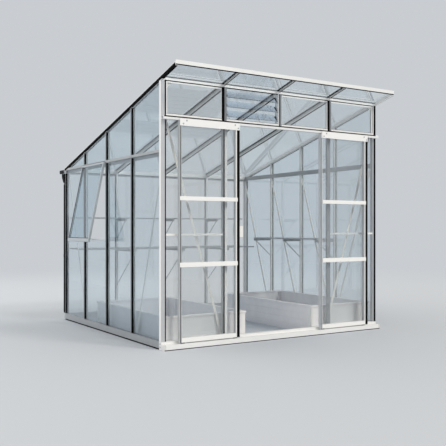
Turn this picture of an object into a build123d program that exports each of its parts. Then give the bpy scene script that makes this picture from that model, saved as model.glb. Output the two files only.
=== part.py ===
from build123d import *
import math
import os

os.makedirs("parts", exist_ok=True)

# Glass greenhouse of aluminium bars, millimetres.
# X runs along the front from its middle, Y from the front face to the back, Z up from the ground.

# House, over its corner posts
house_width = 2560
house_depth = 2560
bays = 4
corner_line = 20

# Roof, measured down from the top face of its bars
roof_front_height = 2430
roof_fall = 0.255
overhang = 272
eaves_drip = 15

# Panes
glass = 4
play = 0.3

# Sill frame and the ledge that guides the doors
sill_height = 72
ledge_reach = 62
ledge_height = 50
groove_width = 14
groove_depth = 18
ledge_cap_length = 14
ledge_cap_rounding = 6
pane_bite = 5

# Corner posts and wall bars, in plan
post_size = 45
post_rounding = 5
slot_depth = 20
front_glass_inset = 8
side_glass_inset = 16
side_bar_inset = 8
cap_width = 28
cap_thickness = 6
web_thickness = 8
foot_width = 22
foot_thickness = 4

# Rails of the walls, the drops measured from the roof's height at the front or at the back
head_rail_drop = 39
fascia_height = 297
fascia_rail_height = 17
eaves_rail_drop = 42
side_rail_drop = 27
side_rail_height = 25
side_rail_inner_height = 50
side_rail_inner_drop = 17
side_rail_thickness = 3
mid_rail_bottom = 1010
mid_rail_height = 18
mid_rail_lip = 5

# Roof bars
roof_cap_width = 44
roof_cap = 5
roof_bar_depth = 46
overhang_bar_depth = 25
rake_depth = 34
rake_slot_depth = 30
overhang_rake_width = 22
front_bar_thickness = 4
front_bar_height = 34
front_bar_rise = 13
front_bar_lip = 18

# Gutter and downpipe
gutter_width = 142
gutter_depth = 42
gutter_drop = 17
gutter_wall = 3
gutter_bend = 18
gutter_overrun = 10
pipe_diameter = 40
pipe_wall = 2
pipe_outlet_reach = 90
pipe_wall_gap = 5
pipe_neck_drop = 38
pipe_neck_height = 80
pipe_end_height = 80

# Braces and corner gussets
brace_width = 24
brace_thickness = 3
brace_foot = 95
brace_inset = 52
side_brace_drop = 8
gusset_size = 80
gusset_end = 14
gusset_hollow = 100
gusset_thickness = 3

# Louvre over the doorway
louvre_bay = 2
blade_count = 3
blade_height = 98
blade_tilt = 45
louvre_side_width = 20
louvre_side_depth = 30
louvre_margin = 14
clip_length = 56
clip_grip = 3
clip_width = 10

# Top-hung window in the left wall
window_bay = 3
window_lift = 6
window_height = 839
window_lap = 39
window_sill_height = 13
window_side_gap = 8
window_stile = 20
window_bottom_rail = 35
window_thickness = 22
window_opening_angle = 11.5
stay_width = 18
stay_thickness = 3
stay_hole = 6
stay_hole_pitch = 30

# Door track and leaves
track_gap = 7
track_height = 30
track_reach = 42
track_wall = 3
track_slot = 14
leaf_back = 14
leaf_depth = 40
leaf_floor_gap = 8
leaf_top_gap = 6
leaf_stile = 20
leaf_seal = 20
leaf_bottom_rail = 42
leaf_top_rail = 38
leaf_mid_rail_bottoms = [730, 1325]
leaf_mid_rail_heights = [40, 36]
leaf_rail_inset = 4
rail_cover_thickness = 3
rail_cover_end = 12
leaf_glass_inset = 24
left_leaf_edge = 496
right_leaf_edge = 480
guide_thickness = 4
guide_length = 40
guide_reach = 18
head_plate_drop = 44
head_plate_height = 65
head_plate_thickness = 5
hanger_inset = 95
hanger_width = 30
hanger_thickness = 4
roller_diameter = 20
roller_width = 8
roller_groove = 2
axle_diameter = 6
handle_bottom = 995
handle_height = 102
handle_reach = 67
handle_lap = 20
handle_thickness = 3
handle_gap = 5

# Raised beds
bed_front = 60
bed_length = 1620
bed_height = 285
left_bed_gap = 70
left_bed_width = 850
right_bed_gap = 60
right_bed_width = 780
bed_wall = 22
bed_board_count = 4
bed_joint_height = 8
bed_joint_depth = 4
bed_rim_height = 16
bed_rim_lap = 8
bed_post = 44

# Staging and shelves
shelf_wall_gap = 4
staging_end_gap = 260
staging_depth = 540
staging_top = 840
slat_width = 62
slat_thickness = 12
slat_gap = 14
bearer_width = 24
bearer_height = 28
upper_shelf_depth = 265
upper_shelf_top = 1200
side_shelf_depth = 250
side_shelf_top = 955
strut_width = 16
strut_thickness = 4
strut_fall = 0.75

half_width = house_width / 2
inner_half_width = half_width - post_size
pitch = (house_width - 2 * corner_line) / bays
side_pitch = (house_depth - 2 * corner_line) / bays
bar_lines = [(k - bays / 2) * pitch for k in range(1, bays)]
side_bar_lines = [corner_line + k * side_pitch for k in range(1, bays)]
roof_cos = 1 / math.sqrt(1 + roof_fall ** 2)
roof_support = roof_cap + glass + 2 * play
roof_back_height = roof_front_height - roof_fall * house_depth

head_rail_bottom = roof_front_height - head_rail_drop
fascia_rail_top = head_rail_bottom - fascia_height
fascia_rail_bottom = fascia_rail_top - fascia_rail_height
eaves_rail_bottom = roof_back_height - eaves_rail_drop
side_rail_bottom = roof_back_height - side_rail_drop
side_rail_top = side_rail_bottom + side_rail_height
side_rail_middle = side_rail_bottom + side_rail_height / 2
side_rail_inner_bottom = side_rail_middle - side_rail_inner_drop - side_rail_inner_height / 2
gutter_top = roof_back_height - gutter_drop
window_top = side_rail_bottom + window_lift
window_sill_top = window_top - window_height + window_lap
window_sill_bottom = window_sill_top - window_sill_height

track_bottom = fascia_rail_bottom - track_gap - track_height
leaf_width = (bar_lines[-1] - bar_lines[0]) / 2
leaf_bottom = ledge_height + leaf_floor_gap
leaf_top = track_bottom - leaf_top_gap
head_plate_bottom = leaf_top - head_plate_drop


def roof_height(y, down=0):
    """Height over the ground at y, a distance down from the top of the roof bars."""
    return roof_front_height - roof_fall * y - down / roof_cos


def rectangle(a0, a1, b0, b1):
    """Corner points of a rectangle between two pairs of limits."""
    return [(a0, b0), (a1, b0), (a1, b1), (a0, b1)]


def prism_up(points, z0, z1):
    """Section in plan, as (x, y), run from z0 up to z1."""
    return extrude(Plane.XY.offset(z0) * Polygon(*points, align=None), z1 - z0, dir=(0, 0, 1))


def prism_across(points, x0, x1):
    """Section seen from the side, as (y, z), run from x0 to x1."""
    return extrude(Plane.YZ.offset(x0) * Polygon(*points, align=None), x1 - x0, dir=(1, 0, 0))


def prism_back(points, y0, y1):
    """Section seen from the front, as (x, z), run from y0 to y1."""
    return extrude(Plane.XZ.offset(-y1) * Polygon(*points, align=None), y1 - y0, dir=(0, -1, 0))


def prism_down_roof(points, y0, y1):
    """Section square to the roof, as (x, down), run along the fall and cut upright at y0 and y1."""
    fall = (0, roof_cos, -roof_fall * roof_cos)
    slope = Plane(origin=(0, 0, roof_front_height), x_dir=(1, 0, 0), z_dir=fall)
    reach = 2 * (house_depth + overhang)
    bar = extrude(slope.offset(-reach) * Polygon(*points, align=None), 2 * reach, dir=slope.z_dir)
    slice_between = prism_across(rectangle(y0, y1, 0, 2 * roof_front_height), -house_width, house_width)
    return bar & slice_between


def on_wall(wall, points):
    """Turn (along the wall, inward from its outer face) into (x, y)."""
    turns = {
        "front": lambda t, n: (t, n),
        "rear": lambda t, n: (t, house_depth - n),
        "left": lambda t, n: (n - half_width, t),
        "right": lambda t, n: (half_width - n, t),
    }
    return [turns[wall](t, n) for t, n in points]


def below_roof(down):
    """Everything more than a distance down from the top of the roof bars, to trim what stands under them."""
    y0 = -overhang
    y1 = house_depth + overhang
    outline = [(y0, 0), (y1, 0), (y1, roof_height(y1, down)), (y0, roof_height(y0, down))]
    return prism_across(outline, -house_width, house_width)


def pane_groove(wall, z0, z1):
    """Groove from post slot to post slot, to cut into the rails of a wall for the edges of its panes."""
    root = post_size - slot_depth
    if wall in ("front", "rear"):
        inset = front_glass_inset
        t0, t1 = root - half_width, half_width - root
    else:
        inset = side_glass_inset
        t0, t1 = root, house_depth - root
    return prism_up(on_wall(wall, rectangle(t0, t1, inset - play, inset + glass + play)), z0, z1)


def solids_of(shapes):
    """One compound from separate solids that share a node."""
    return Compound(children=[solid for shape in shapes for solid in shape.solids()])


def grooved(sill, walls):
    """Sill with grooves in its top for the lower edges of the panes, also where side walls run into it."""
    for wall in walls:
        sill -= pane_groove(wall, sill_height - pane_bite - play, sill_height)
    return sill


def front_sill():
    """Extruded base rail with a ledge and a groove for the foot guides of the doors."""
    groove_middle = -(leaf_back + leaf_depth / 2)
    groove_back = groove_middle + groove_width / 2
    groove_front = groove_middle - groove_width / 2
    groove_floor = ledge_height - groove_depth
    base = prism_across(rectangle(0, post_size, 0, sill_height), -half_width, half_width)
    outline = [(-ledge_reach, 0), (0, 0), (0, ledge_height), (groove_back, ledge_height),
               (groove_back, groove_floor), (groove_front, groove_floor), (groove_front, ledge_height),
               (-ledge_reach, ledge_height)]
    ledge = prism_across(outline, -half_width + ledge_cap_length, half_width - ledge_cap_length)
    return grooved(base + ledge, ("front", "left", "right"))


def ledge_caps():
    """Moulded blocks that close the two ends of the front ledge, rounded where they stand free."""
    caps = []
    for side in (-1, 1):
        block = prism_up([(side * x, y) for x, y in rectangle(half_width - ledge_cap_length, half_width,
                                                              -ledge_reach, 0)], 0, ledge_height)
        upright = block.edges().filter_by(Axis.Z).sort_by_distance((side * half_width, -ledge_reach, 0))[:1]
        outer_top = block.faces().sort_by(Axis.X)[-1 if side > 0 else 0].edges().sort_by(Axis.Z)[-1:]
        caps.append(fillet(upright + outer_top, ledge_cap_rounding))
    return solids_of(caps)


def rear_sill():
    outline = rectangle(house_depth - post_size, house_depth, 0, sill_height)
    return grooved(prism_across(outline, -half_width, half_width), ("rear", "left", "right"))


def side_sills():
    sills = []
    for wall in ("left", "right"):
        outline = on_wall(wall, rectangle(post_size, house_depth - post_size, 0, post_size))
        sills.append(grooved(prism_up(outline, 0, sill_height), (wall,)))
    return solids_of(sills)


def slotted_post_section(front_slot, side_slot):
    """Square corner post with a glazing slot toward each wall, as (along the front, back from the front)."""
    s = post_size
    f0 = front_slot - play
    f1 = front_slot + glass + play
    n0 = side_slot - play
    n1 = side_slot + glass + play
    root = s - slot_depth
    return [(0, 0), (s, 0), (s, f0), (root, f0), (root, f1), (s, f1), (s, s),
            (n1, s), (n1, root), (n0, root), (n0, s), (0, s)]


def corner_posts():
    posts = []
    section = slotted_post_section(front_glass_inset, side_glass_inset)
    for side in (-1, 1):
        for outer_face in (0, house_depth):
            outline = [(side * (half_width - t), abs(outer_face - n)) for t, n in section]
            plan = Polygon(*outline, align=None)
            corner = plan.vertices().sort_by_distance((side * half_width, outer_face, 0))[0]
            plan = Plane.XY.offset(sill_height) * fillet(corner, post_rounding)
            posts.append(extrude(plan, roof_front_height, dir=(0, 0, 1)) & below_roof(rake_depth))
    return solids_of(posts)


def bar_section(centre, face):
    """Glazing bar in plan: cover cap outside, web between the panes, foot inside."""
    c = cap_width / 2
    w = web_thickness / 2
    f = foot_width / 2
    under_cap = face + cap_thickness
    over_foot = post_size - foot_thickness
    right_half = [(c, face), (c, under_cap), (w, under_cap), (w, over_foot), (f, over_foot), (f, post_size)]
    left_half = [(-t, n) for t, n in reversed(right_half)]
    return [(centre + t, n) for t, n in right_half + left_half]


def front_wall_bars():
    """Two door posts below the fascia rail and the fascia bars above it."""
    bars = []
    for line in (bar_lines[0], bar_lines[-1]):
        bars.append(prism_up(bar_section(line, 0), sill_height, fascia_rail_bottom))
    for line in bar_lines:
        bars.append(prism_up(bar_section(line, 0), fascia_rail_top, head_rail_bottom))
    return solids_of(bars)


def side_wall_bars(wall):
    bars = []
    for line in side_bar_lines:
        section = on_wall(wall, bar_section(line, side_bar_inset))
        bars.append(prism_up(section, sill_height, roof_front_height) & below_roof(rake_depth))
    return solids_of(bars)


def rear_wall_bars():
    bars = []
    for line in bar_lines:
        bars.append(prism_up(on_wall("rear", bar_section(line, 0)), sill_height, eaves_rail_bottom))
    return solids_of(bars)


def head_rail():
    """Rail under the front of the roof, bevelled on top to the fall."""
    outline = [(0, head_rail_bottom), (post_size, head_rail_bottom),
               (post_size, roof_height(post_size, roof_support)), (0, roof_height(0, roof_support))]
    return prism_across(outline, -inner_half_width, inner_half_width)


def fascia_rail():
    """Rail over the doors, grooved below for the wall panes and above for the fascia panes."""
    bite = pane_bite + play
    outline = rectangle(0, post_size, fascia_rail_bottom, fascia_rail_top)
    rail = prism_across(outline, -inner_half_width, inner_half_width)
    rail -= pane_groove("front", fascia_rail_bottom, fascia_rail_bottom + bite)
    return rail - pane_groove("front", fascia_rail_top - bite, fascia_rail_top)


def eaves_rail():
    """Rail under the low end of the roof, grooved below for the panes of the rear wall."""
    y0 = house_depth - post_size
    y1 = house_depth
    outline = [(y0, eaves_rail_bottom), (y1, eaves_rail_bottom),
               (y1, roof_height(y1, roof_support)), (y0, roof_height(y0, roof_support))]
    rail = prism_across(outline, -inner_half_width, inner_half_width)
    return rail - pane_groove("rear", eaves_rail_bottom, eaves_rail_bottom + pane_bite + play)


def side_rails():
    """Flat rail outside the bars of each side wall, and a wider one across their feet inside."""
    rails = []
    inner_top = side_rail_inner_bottom + side_rail_inner_height
    for wall in ("left", "right"):
        outer = on_wall(wall, rectangle(post_size, house_depth - post_size, 0, side_bar_inset))
        inner = on_wall(wall, rectangle(post_size, house_depth - post_size, post_size,
                                        post_size + side_rail_thickness))
        rails.append(prism_up(outer, side_rail_bottom, side_rail_top) & below_roof(rake_depth))
        inner_rail = prism_up(inner, side_rail_inner_bottom, inner_top)
        rails.append(inner_rail & below_roof(roof_support + play))
    return solids_of(rails)


def mid_rail_section(bottom, height, inset):
    """H-shaped joint strip between an upper and a lower pane, as (inward, up)."""
    middle = bottom + height / 2
    half_web = glass / 2
    n0 = inset - play - mid_rail_lip
    n1 = inset - play
    n2 = inset + glass + play
    n3 = n2 + mid_rail_lip
    top = bottom + height
    return [(n0, bottom), (n1, bottom), (n1, middle - half_web), (n2, middle - half_web), (n2, bottom),
            (n3, bottom), (n3, top), (n2, top), (n2, middle + half_web), (n1, middle + half_web),
            (n1, top), (n0, top)]


def front_bay_limits(bay):
    """Clear width between the cap edges on the outside of a front bay, as (x0, x1)."""
    edges = [-inner_half_width] + bar_lines + [inner_half_width]
    low = edges[bay] + (0 if bay == 0 else cap_width / 2)
    high = edges[bay + 1] - (0 if bay == bays - 1 else cap_width / 2)
    return low, high


def window_limits():
    """Bars on either side of the window, as (y0, y1) at their webs."""
    return side_bar_lines[window_bay - 2], side_bar_lines[window_bay - 1]


def mid_rails():
    """Joint strips of the two fixed front panes, and the sill of the window opening."""
    strips = []
    for bay in (0, bays - 1):
        x0, x1 = front_bay_limits(bay)
        section = mid_rail_section(mid_rail_bottom, mid_rail_height, front_glass_inset)
        strips.append(prism_across(section, x0 + play, x1 - play))
    y0, y1 = window_limits()
    web = web_thickness / 2
    under_cap = side_bar_inset + cap_thickness + play
    over_foot = post_size - foot_thickness - play
    half_cap = cap_width / 2
    ledge = on_wall("left", rectangle(y0 + web + play, y1 - web - play, under_cap, over_foot))
    nose = on_wall("left", rectangle(y0 + half_cap + play, y1 - half_cap - play, side_bar_inset, under_cap))
    window_sill = prism_up(ledge, window_sill_bottom, window_sill_top)
    window_sill += prism_up(nose, window_sill_bottom, window_sill_top)
    bite = pane_bite + play
    strips.append(window_sill - pane_groove("left", window_sill_bottom, window_sill_bottom + bite))
    return solids_of(strips)


def pane_edges(lines, low_end, high_end):
    """Limits of the panes between webs, with the outer panes let into the corner posts."""
    clear = web_thickness / 2 + play
    starts = [low_end + play] + [line + clear for line in lines]
    stops = [line - clear for line in lines] + [high_end - play]
    return list(zip(starts, stops))


def front_wall_glass():
    """Two panes in each outer bay, and one in each fascia bay but that of the louvre."""
    panes = []
    y0 = front_glass_inset
    y1 = front_glass_inset + glass
    root = half_width - post_size + slot_depth
    edges = pane_edges(bar_lines, -root, root)
    middle = mid_rail_bottom + mid_rail_height / 2
    levels = [(sill_height - pane_bite, middle - glass / 2 - play),
              (middle + glass / 2 + play, fascia_rail_bottom + pane_bite)]
    for x0, x1 in (edges[0], edges[-1]):
        for z0, z1 in levels:
            panes.append(prism_back(rectangle(x0, x1, z0, z1), y0, y1))
    for bay, (x0, x1) in enumerate(edges, start=1):
        if bay != louvre_bay:
            pane = rectangle(x0, x1, fascia_rail_top - pane_bite, head_rail_bottom - play)
            panes.append(prism_back(pane, y0, y1))
    return solids_of(panes)


def side_wall_glass(wall):
    """A lower and an upper pane in each bay, the upper ones cut to the fall of the roof."""
    panes = []
    root = post_size - slot_depth
    edges = pane_edges(side_bar_lines, root, house_depth - root)
    n0 = side_glass_inset
    n1 = side_glass_inset + glass
    trim = Pos(0, 0, -play) * below_roof(rake_depth)
    for bay, (t0, t1) in enumerate(edges, start=1):
        outline = on_wall(wall, rectangle(t0, t1, n0, n1))
        lower_top = side_rail_middle - play
        if wall == "left" and bay == window_bay:
            lower_top = window_sill_bottom + pane_bite
        panes.append(prism_up(outline, sill_height - pane_bite, lower_top) & trim)
        panes.append(prism_up(outline, side_rail_middle + play, roof_front_height) & trim)
    return solids_of(panes)


def rear_wall_glass():
    panes = []
    root = half_width - post_size + slot_depth
    y1 = house_depth - front_glass_inset
    for x0, x1 in pane_edges(bar_lines, -root, root):
        pane = rectangle(x0, x1, sill_height - pane_bite, eaves_rail_bottom + pane_bite)
        panes.append(prism_back(pane, y1 - glass, y1))
    return solids_of(panes)


def roof_bars():
    """Three glazing bars, deep inside the house and shallow over the front, and a rake bar on each side."""
    c = roof_cap_width / 2
    w = web_thickness / 2
    f = foot_width / 2
    over_foot = roof_bar_depth - foot_thickness
    upper = [(-c, 0), (c, 0), (c, roof_cap), (w, roof_cap), (w, roof_support), (-w, roof_support),
             (-w, roof_cap), (-c, roof_cap)]
    rib = [(-w, roof_support), (w, roof_support), (w, over_foot), (f, over_foot), (f, roof_bar_depth),
           (-f, roof_bar_depth), (-f, over_foot), (-w, over_foot)]
    nose = rectangle(-w, w, roof_support, overhang_bar_depth)
    bar = prism_down_roof(upper, -overhang, house_depth + eaves_drip)
    bar += prism_down_roof(rib, post_size + play, house_depth - post_size - play)
    bar += prism_down_roof(nose, -overhang + front_bar_lip, -play)
    bars = [Pos(line, 0, 0) * bar for line in bar_lines]
    for side in (-1, 1):
        bars.append(rake_bar(side, post_size, 0, house_depth)
                    + rake_bar(side, overhang_rake_width, -overhang, 0))
    return solids_of(bars)


def rake_bar(side, width, y0, y1):
    """Length of a rake bar, slotted toward the house for the outer edge of the roof's panes."""
    root = post_size - rake_slot_depth
    outline = [(0, 0), (width, 0), (width, roof_cap), (root, roof_cap), (root, roof_support),
               (width, roof_support), (width, rake_depth), (0, rake_depth)]
    return prism_down_roof([(side * (half_width - u), down) for u, down in outline], y0, y1)


def roof_front_bar():
    """White edge strip that closes the front of the roof and stands over it, with a lip under the panes."""
    y0 = -overhang - front_bar_thickness
    top = roof_height(-overhang) + front_bar_rise
    bottom = top - front_bar_height
    edge = prism_across(rectangle(y0, -overhang, bottom, top), -half_width, half_width)
    lip_end = half_width - overhang_rake_width - play
    lip = rectangle(-lip_end, lip_end, roof_support, roof_support + front_bar_thickness)
    return edge + prism_down_roof(lip, -overhang, -overhang + front_bar_lip - play)


def roof_glass():
    panes = []
    root = half_width - post_size + rake_slot_depth
    for x0, x1 in pane_edges(bar_lines, -root, root):
        section = rectangle(x0, x1, roof_cap + play, roof_cap + play + glass)
        panes.append(prism_down_roof(section, -overhang + play, house_depth + eaves_drip))
    return solids_of(panes)


def gutter():
    """Open channel along the low end of the roof, closed at both ends."""
    y0 = house_depth + gutter_wall / 2
    y1 = house_depth + gutter_width - gutter_wall / 2
    bottom = gutter_top - gutter_depth + gutter_wall / 2
    line = FilletPolyline((y0, gutter_top), (y0, bottom), (y1, bottom), (y1, gutter_top), radius=gutter_bend)
    length = house_width + 2 * gutter_overrun
    start = -half_width - gutter_overrun
    channel = extrude(Plane.YZ.offset(start) * trace(line, gutter_wall), length, dir=(1, 0, 0))
    end_outline = make_face(line + Line((y1, gutter_top), (y0, gutter_top)))
    for x in (start, -start - gutter_wall):
        channel += extrude(Plane.YZ.offset(x) * end_outline, gutter_wall, dir=(1, 0, 0))
    return channel


def downpipe():
    """Swan neck from the gutter back to the wall, then straight down the rear left corner."""
    x = -half_width + corner_line
    top = gutter_top - gutter_depth
    outlet = house_depth + pipe_outlet_reach
    wall_line = house_depth + pipe_wall_gap + pipe_diameter / 2
    neck = top - pipe_neck_drop
    path = FilletPolyline((x, outlet, top), (x, outlet, neck), (x, wall_line, neck - pipe_neck_height),
                          (x, wall_line, pipe_end_height), radius=pipe_diameter)
    start = Plane(origin=(x, outlet, top), z_dir=(0, 0, -1))
    outer = sweep(start * Circle(pipe_diameter / 2), path)
    inner = sweep(start * Circle(pipe_diameter / 2 - pipe_wall), path)
    return outer - inner


def brace_outline(t0, z0, t1, z1):
    """Flat bar from (t0, z0) down to (t1, z1), with upright ends, brace_width wide."""
    length = math.hypot(t1 - t0, z1 - z0)
    half = brace_width / 2
    dt = half * abs(z1 - z0) / length
    dz = half * (t1 - t0) / length
    return [(t0 - dt, z0 - dz), (t0 + dt, z0 + dz), (t1 + dt, z1 + dz), (t1 - dt, z1 - dz)]


def front_braces():
    """Braces of the fixed front bays, from the back of the fascia rail down to the foot of a door post."""
    flats = []
    top = (fascia_rail_bottom + fascia_rail_top) / 2
    foot = bar_lines[0]
    for side in (-1, 1):
        outline = brace_outline(-half_width + brace_inset, top, foot - brace_width / 2, brace_foot)
        flats.append(prism_back([(-side * t, z) for t, z in outline], post_size, post_size + brace_thickness))
    return flats


def side_braces():
    """Braces of the end bays on the left, and of every bay on the right."""
    near = corner_line
    lines = [near] + side_bar_lines + [house_depth - near]
    pairs = {"left": [(0, 1), (bays, bays - 1)],
             "right": [(0, 1)] + [(k, k - 1) for k in range(2, bays + 1)]}
    flats = []
    top = side_rail_inner_bottom - side_brace_drop
    for wall, ends in pairs.items():
        for upper, lower in ends:
            lean = 1 if lower > upper else -1
            t0 = lines[upper] + lean * brace_width
            t1 = lines[lower] - lean * brace_width * 2
            flats.append(side_flat(wall, brace_outline(t0, top, t1, brace_foot)))
    return flats


def side_flat(wall, outline):
    """Flat bar on the feet of a side wall's bars, from an outline as (y, z)."""
    x0 = half_width - post_size - brace_thickness
    flat = prism_across(outline, x0, x0 + brace_thickness)
    return mirror(flat, about=Plane.YZ) if wall == "left" else flat


def wall_braces():
    return solids_of(front_braces() + side_braces())


def gussets():
    """Corner plates at the outer ends of the fascia, hollowed in an arc between their legs."""
    plates = []
    y0 = front_glass_inset + glass + play
    g = gusset_size
    e = gusset_end
    for side in (-1, 1):
        tip_across = (-side * g, -e)
        tip_down = (-side * e, -g)
        arc = RadiusArc(tip_across, tip_down, side * gusset_hollow)
        edge = Polyline(tip_down, (0, -g), (0, 0), (-side * g, 0), tip_across)
        origin = (side * inner_half_width, y0 + gusset_thickness, head_rail_bottom)
        corner = Plane(origin=origin, x_dir=(1, 0, 0), z_dir=(0, -1, 0))
        plates.append(extrude(corner * make_face(arc + edge), gusset_thickness, dir=(0, -1, 0)))
    return solids_of(plates)


def louvre_places():
    """Limits of the louvre bay between the webs, and the middle height of each blade."""
    clear = web_thickness / 2 + play
    x0 = bar_lines[louvre_bay - 2] + clear
    x1 = bar_lines[louvre_bay - 1] - clear
    low = fascia_rail_top + louvre_margin
    high = head_rail_bottom - louvre_margin
    step = (high - low) / blade_count
    return x0, x1, [low + (k + 0.5) * step for k in range(blade_count)]


def blade_outline(z, length, thickness):
    """Tilted blade seen from the side, its lower edge outside, as (y, z)."""
    y = cap_thickness + louvre_side_depth / 2
    turn = math.radians(blade_tilt)
    along = (math.cos(turn), math.sin(turn))
    across = (-math.sin(turn), math.cos(turn))
    corners = []
    for a, b in ((-1, -1), (1, -1), (1, 1), (-1, 1)):
        u = a * length / 2
        v = b * thickness / 2
        corners.append((y + u * along[0] + v * across[0], z + u * along[1] + v * across[1]))
    return corners


def louvre_sides():
    """Upright side channels with a clip that grips each blade by its end."""
    x0, x1, heights = louvre_places()
    y0 = cap_thickness + play
    sides = []
    for low, inward in ((x0, 1), (x1 - louvre_side_width, -1)):
        side = prism_up(rectangle(low, low + louvre_side_width, y0, y0 + louvre_side_depth),
                        fascia_rail_top + play, head_rail_bottom - play)
        face = low + louvre_side_width if inward > 0 else low
        clip0, clip1 = sorted((face, face + inward * clip_width))
        for z in heights:
            grip = prism_across(blade_outline(z, clip_length, glass + 2 * (clip_grip + play)), clip0, clip1)
            slot = prism_across(blade_outline(z, blade_height, glass + 2 * play), clip0, clip1)
            side += grip - slot
        sides.append(side)
    return solids_of(sides)


def louvre_blades():
    x0, x1, heights = louvre_places()
    inset = louvre_side_width + play
    outlines = [blade_outline(z, blade_height, glass) for z in heights]
    return solids_of([prism_across(outline, x0 + inset, x1 - inset) for outline in outlines])


def hung_window(shape):
    """Swing a piece, drawn upright behind the hinge line, out to its open place."""
    return Pos(-half_width - play, 0, window_top) * Rot(0, window_opening_angle, 0) * shape


def window_spans():
    y0, y1 = window_limits()
    return y0 + window_side_gap, y1 - window_side_gap


def window_frame():
    """Frame of four bars, drawn from its hinge line at the top inner edge."""
    y0, y1 = window_spans()
    outer = prism_across(rectangle(y0, y1, -window_height, 0), -window_thickness, 0)
    hole = rectangle(y0 + window_stile, y1 - window_stile, -window_height + window_bottom_rail, -window_stile)
    return hung_window(outer - prism_across(hole, -window_thickness, 0))


def window_glass():
    y0, y1 = window_spans()
    pane = rectangle(y0 + window_stile + play, y1 - window_stile - play,
                     -window_height + window_bottom_rail + play, -window_stile - play)
    middle = -window_thickness / 2
    return hung_window(prism_across(pane, middle - glass / 2, middle + glass / 2))


def window_stay():
    """Pierced bar that props the window, from its bottom rail to the sill of the opening."""
    turn = math.radians(window_opening_angle)
    reach = (window_height - window_bottom_rail / 2) * math.sin(turn)
    drop = (window_height - window_bottom_rail / 2) * math.cos(turn)
    x0 = -half_width - play - reach + play / math.cos(turn)
    z0 = window_top - drop
    x1 = -half_width + side_bar_inset - play
    y0, y1 = window_limits()
    y = (y0 + y1) / 2
    z1 = window_sill_top
    lean = (z1 - z0) / (x1 - x0)
    half = stay_width / 2
    outline = [(x0 - half * math.tan(turn), z0 - half), (x1, z1 - half), (x1, z1 + half),
               (x0 + half * math.tan(turn), z0 + half)]
    hook = rectangle(x1, x1 + stay_width, z1, z1 + half)
    y0 = y - stay_thickness / 2
    y1 = y + stay_thickness / 2
    bar = prism_back(outline, y0, y1) + prism_back(hook, y0, y1)
    x = x0 + stay_hole_pitch
    while x < x1 - stay_hole_pitch:
        middle = z0 + lean * (x - x0)
        bar -= Pos(x, y, middle) * Rot(90, 0, 0) * Cylinder(stay_hole / 2, 2 * stay_thickness)
        x += stay_hole_pitch
    return bar


def door_track():
    """Extruded channel across the whole front, slotted below for the hangers of the doors."""
    y1 = -track_reach
    w = track_wall
    middle = -track_reach / 2
    s = track_slot / 2
    bottom = track_bottom
    lip = bottom + w
    top = bottom + track_height
    outline = [(0, bottom), (0, top), (y1, top), (y1, bottom), (middle - s, bottom), (middle - s, lip),
               (y1 + w, lip), (y1 + w, top - w), (-w, top - w), (-w, lip), (middle + s, lip),
               (middle + s, bottom)]
    return prism_across(outline, -half_width, half_width)


def leaf_frame(x0):
    """Leaf of two stiles and four rails, with covers on the mid rails and guides in the sill's groove."""
    back = -leaf_back
    front = -leaf_back - leaf_depth
    inner0 = x0 + leaf_stile
    inner1 = x0 + leaf_width - leaf_seal - leaf_stile
    stile = rectangle(0, leaf_stile, front, back)
    frame = prism_up([(x0 + x, y) for x, y in stile], leaf_bottom, leaf_top)
    frame += prism_up([(inner1 + x, y) for x, y in stile], leaf_bottom, leaf_top)
    rails = [(leaf_bottom, leaf_bottom_rail), (leaf_top - leaf_top_rail, leaf_top_rail)]
    rails += list(zip(leaf_mid_rail_bottoms, leaf_mid_rail_heights))
    for bottom, height in rails:
        rail = rectangle(front, back - leaf_rail_inset, bottom, bottom + height)
        frame += prism_across(rail, inner0, inner1)
    for bottom, height in zip(leaf_mid_rail_bottoms, leaf_mid_rail_heights):
        cover = rectangle(inner0, x0 + leaf_width - rail_cover_end, bottom, bottom + height)
        frame += prism_back(cover, front - rail_cover_thickness, front)
    middle = -(leaf_back + leaf_depth / 2)
    fin = rectangle(middle - guide_thickness / 2, middle + guide_thickness / 2,
                    leaf_bottom - guide_reach, leaf_bottom)
    for start in (inner0, inner1 + leaf_stile - guide_length):
        frame += prism_across(fin, start, start + guide_length)
    return frame


def leaf_glass(x0):
    """Panes between the rails of a leaf."""
    levels = [leaf_bottom + leaf_bottom_rail]
    for bottom, height in zip(leaf_mid_rail_bottoms, leaf_mid_rail_heights):
        levels += [bottom, bottom + height]
    levels.append(leaf_top - leaf_top_rail)
    inner0 = x0 + leaf_stile + play
    inner1 = x0 + leaf_width - leaf_seal - leaf_stile - play
    y1 = -leaf_glass_inset
    panes = []
    for z0, z1 in zip(levels[0::2], levels[1::2]):
        panes.append(prism_back(rectangle(inner0, inner1, z0 + play, z1 - play), y1 - glass, y1))
    return solids_of(panes)


def leaf_head(x0):
    """Wide plate across the front of a leaf's top, over the seal and up before the track."""
    front = -leaf_back - leaf_depth
    top = head_plate_bottom + head_plate_height
    outline = rectangle(x0 + leaf_stile, x0 + leaf_width, head_plate_bottom, top)
    return prism_back(outline, front - head_plate_thickness, front)


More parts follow.
